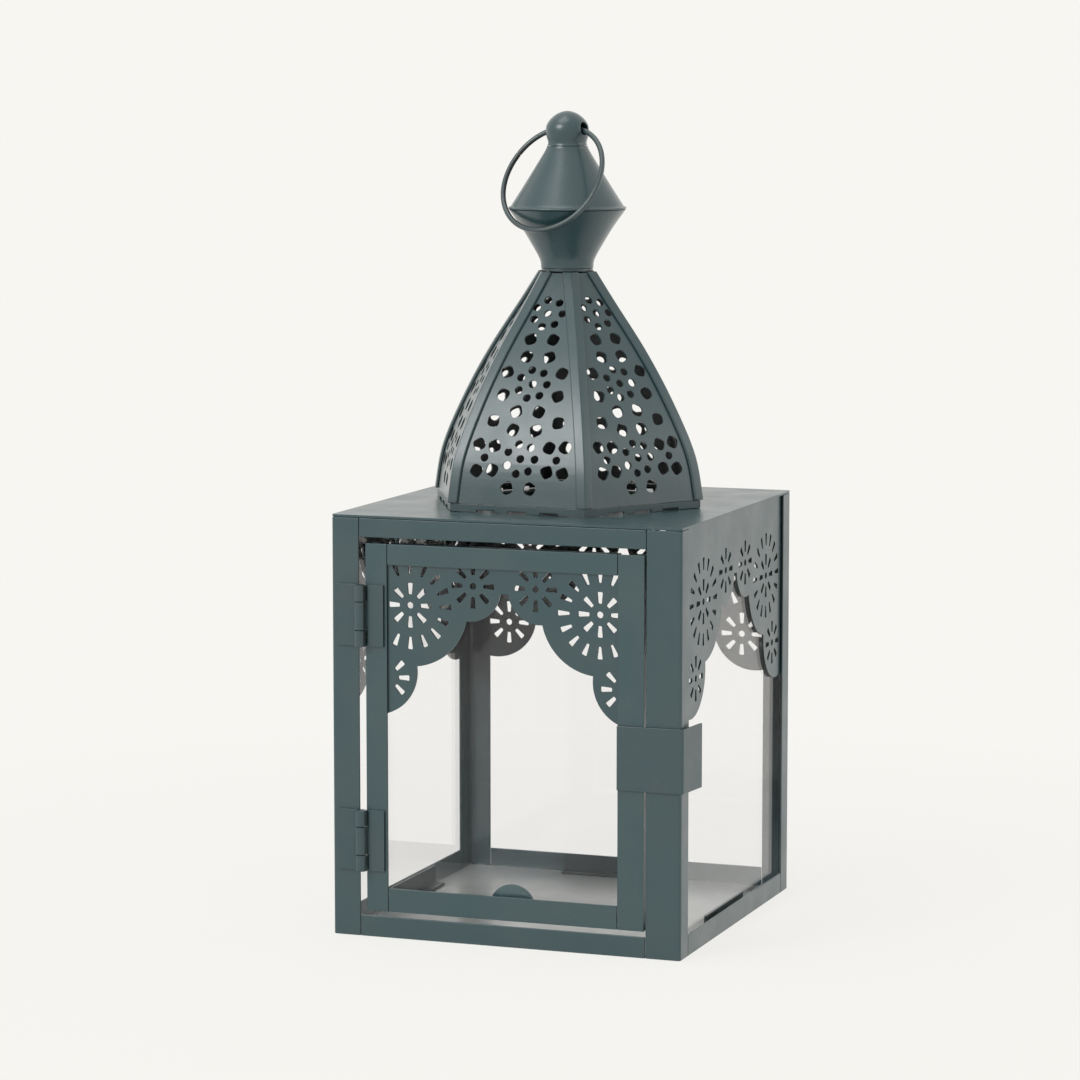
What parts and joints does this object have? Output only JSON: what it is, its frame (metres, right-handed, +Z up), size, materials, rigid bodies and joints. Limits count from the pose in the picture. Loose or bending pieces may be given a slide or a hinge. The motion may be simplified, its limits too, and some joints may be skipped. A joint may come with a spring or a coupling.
{
  "type": "candle lantern",
  "caption": "Square candle lantern with glass sides, fretted valances, a hinged door with a spring clip, a pierced six-sided dome and a carrying ring on a hollow finial.",
  "frame": {"origin": "on the ground under the middle of the square body", "axes": "+Z up, -Y the door side, +X the side of the door's latch"},
  "size_m": [0.1481, 0.1496, 0.3254],
  "materials": {
    "paint": "satin grey-teal paint",
    "hardware": "satin paint over steel",
    "glass": "clear flat glass"
  },
  "bodies": {
    "lantern": {"post_front_hinge": "paint", "post_front_latch": "paint", "post_back_left": "paint", "post_back_right": "paint", "bottom_rail_front": "paint", "bottom_rail_back": "paint", "bottom_rail_left": "paint", "bottom_rail_right": "paint", "top_rail_front": "paint", "floor_plate": "paint", "top_plate": "paint", "fret_left": "paint", "fret_right": "paint", "fret_back": "paint", "pane_left": "glass", "pane_right": "glass", "pane_back": "glass", "pane_strip_left": "paint", "pane_strip_right": "paint", "pane_strip_back": "paint", "dome_base": "paint", "dome_panel_1": "paint", "dome_panel_2": "paint", "dome_panel_3": "paint", "dome_panel_4": "paint", "dome_panel_5": "paint", "dome_panel_6": "paint", "dome_rib_1": "paint", "dome_rib_2": "paint", "dome_rib_3": "paint", "dome_rib_4": "paint", "dome_rib_5": "paint", "dome_rib_6": "paint", "neck_washer": "paint", "finial_trumpet": "paint", "finial_cone": "paint", "finial_knob": "paint", "hinge_leaf_post_lower": "hardware", "hinge_leaf_post_upper": "hardware", "hinge_pin_lower": "hardware", "hinge_pin_upper": "hardware"},
    "door": {"door_stile_hinge": "paint", "door_stile_latch": "paint", "door_rail_top": "paint", "door_rail_bottom": "paint", "door_fret": "paint", "door_pane": "glass", "latch_clip": "paint", "hinge_leaf_door_lower": "hardware", "hinge_leaf_door_upper": "hardware"},
    "ring": {"carrying_ring": "paint"}
  },
  "joints": [
    {"name": "door_swing", "type": "hinge", "parent": "lantern", "child": "door", "pos_m": [-0.05965, -0.0748, 0.0838], "axis": [0, 0, -1], "range_deg": [0, 170]},
    {"name": "ring_swing", "type": "hinge", "parent": "lantern", "child": "ring", "pos_m": [0, 0, 0.31751], "axis": [-0.9636, 0.2672, 0], "range_deg": [0, 302]}
  ]
}
